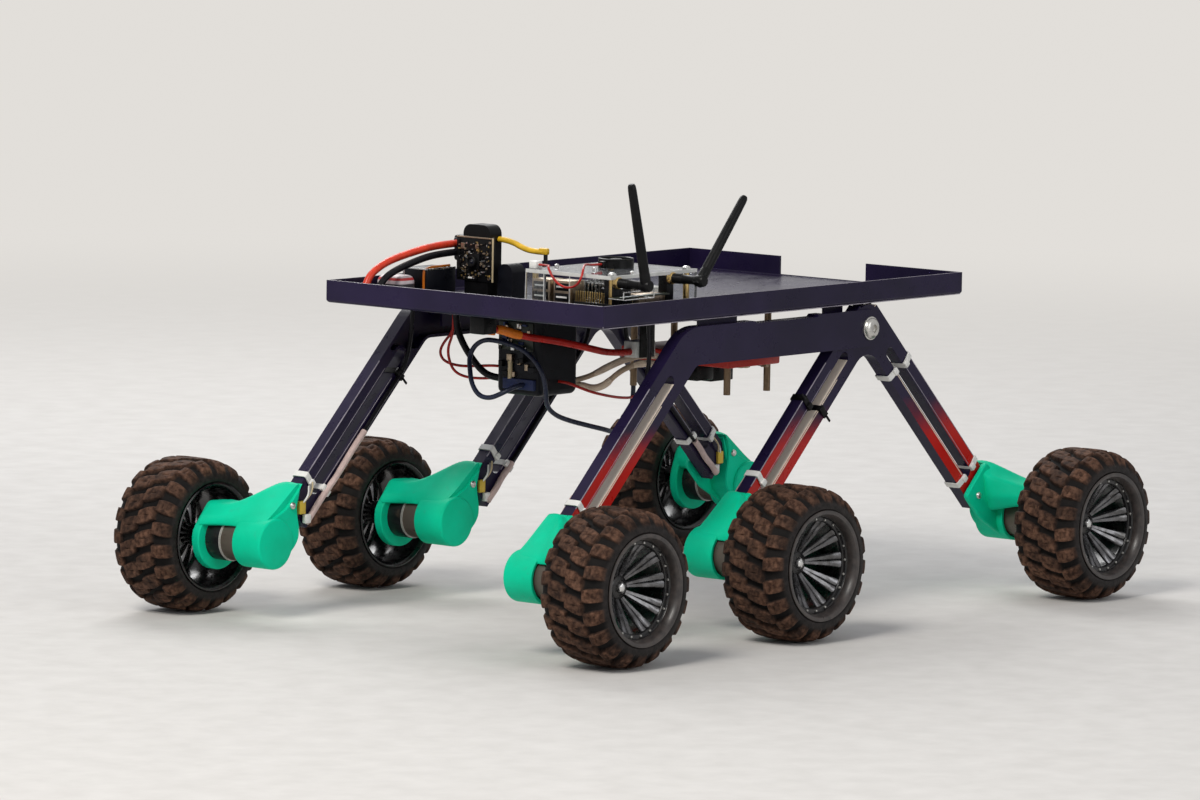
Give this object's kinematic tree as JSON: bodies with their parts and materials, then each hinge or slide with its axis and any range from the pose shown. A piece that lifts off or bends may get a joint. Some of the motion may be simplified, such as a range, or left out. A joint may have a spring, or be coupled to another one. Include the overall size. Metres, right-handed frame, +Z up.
{
  "type": "six-wheel rover prototype",
  "caption": "Planetary rover prototype with a shallow tray on rocker and bogie legs, geared wheel motors in printed mounts, and electronics on the tray.",
  "frame": {"origin": "on the ground under the middle of the rover's box", "axes": "+X forward, +Y to the rover's left, +Z up"},
  "size_m": [0.758, 0.538, 0.3817],
  "materials": {
    "blue_black_coat": "painted",
    "steel_bolt": "brushed",
    "green_print": "matte",
    "motor_can": "painted",
    "tyre_rubber": "matte",
    "rim_plastic": "polished",
    "clear_case": "polished",
    "circuit_board": "matte",
    "brass_post": "machined",
    "black_plastic": "matte",
    "red_cable": "matte",
    "yellow_cable": "matte",
    "beige_cable": "matte"
  },
  "bodies": {
    "chassis": {"aerial_front": "black_plastic", "aerial_rear": "black_plastic", "battery": "black_plastic", "bogie_left": "blue_black_coat", "bogie_right": "blue_black_coat", "cable_ring": "black_plastic", "camera_body": "black_plastic", "case_cover": "clear_case", "case_fan": "black_plastic", "case_floor": "clear_case", "case_posts": "brass_post", "computer_board": "circuit_board", "cord_fittings": "black_plastic", "driver_plate": "circuit_board", "driver_posts": "brass_post", "fan_wire": "red_cable", "hangers": "blue_black_coat", "hose_inner": "beige_cable", "hose_outer": "beige_cable", "lead_black": "black_plastic", "lead_red": "red_cable", "lead_yellow": "yellow_cable", "leg_cables": "black_plastic", "low_wire": "red_cable", "motor_front_left": "motor_can", "motor_front_right": "motor_can", "motor_middle_left": "motor_can", "motor_middle_right": "motor_can", "motor_rear_left": "motor_can", "motor_rear_right": "motor_can", "mount_front_left": "green_print", "mount_front_right": "green_print", "mount_middle_left": "green_print", "mount_middle_right": "green_print", "mount_rear_left": "green_print", "mount_rear_right": "green_print", "pivot_bolts": "steel_bolt", "power_red": "red_cable", "regulator": "black_plastic", "rocker_left": "blue_black_coat", "rocker_right": "blue_black_coat", "sensor_board": "circuit_board", "sensor_foot": "black_plastic", "supply_box": "black_plastic", "tray": "blue_black_coat", "trunk_cable": "black_plastic", "wire_inner": "red_cable", "wire_outer": "red_cable"},
    "wheel_front_left": {"tyre_front_left": "tyre_rubber", "rim_front_left": "rim_plastic"},
    "wheel_front_right": {"tyre_front_right": "tyre_rubber", "rim_front_right": "rim_plastic"},
    "wheel_middle_left": {"tyre_middle_left": "tyre_rubber", "rim_middle_left": "rim_plastic"},
    "wheel_middle_right": {"tyre_middle_right": "tyre_rubber", "rim_middle_right": "rim_plastic"},
    "wheel_rear_left": {"tyre_rear_left": "tyre_rubber", "rim_rear_left": "rim_plastic"},
    "wheel_rear_right": {"tyre_rear_right": "tyre_rubber", "rim_rear_right": "rim_plastic"}
  },
  "joints": [
    {"name": "roll_front_left", "type": "hinge", "parent": "chassis", "child": "wheel_front_left", "pos_m": [0.314, 0.236, 0.065], "axis": [0, 1, 0], "continuous": true},
    {"name": "roll_front_right", "type": "hinge", "parent": "chassis", "child": "wheel_front_right", "pos_m": [0.314, -0.236, 0.065], "axis": [0, 1, 0], "continuous": true},
    {"name": "roll_middle_left", "type": "hinge", "parent": "chassis", "child": "wheel_middle_left", "pos_m": [0.084, 0.236, 0.065], "axis": [0, 1, 0], "continuous": true},
    {"name": "roll_middle_right", "type": "hinge", "parent": "chassis", "child": "wheel_middle_right", "pos_m": [0.084, -0.236, 0.065], "axis": [0, 1, 0], "continuous": true},
    {"name": "roll_rear_left", "type": "hinge", "parent": "chassis", "child": "wheel_rear_left", "pos_m": [-0.314, 0.236, 0.065], "axis": [0, 1, 0], "continuous": true},
    {"name": "roll_rear_right", "type": "hinge", "parent": "chassis", "child": "wheel_rear_right", "pos_m": [-0.314, -0.236, 0.065], "axis": [0, 1, 0], "continuous": true}
  ]
}
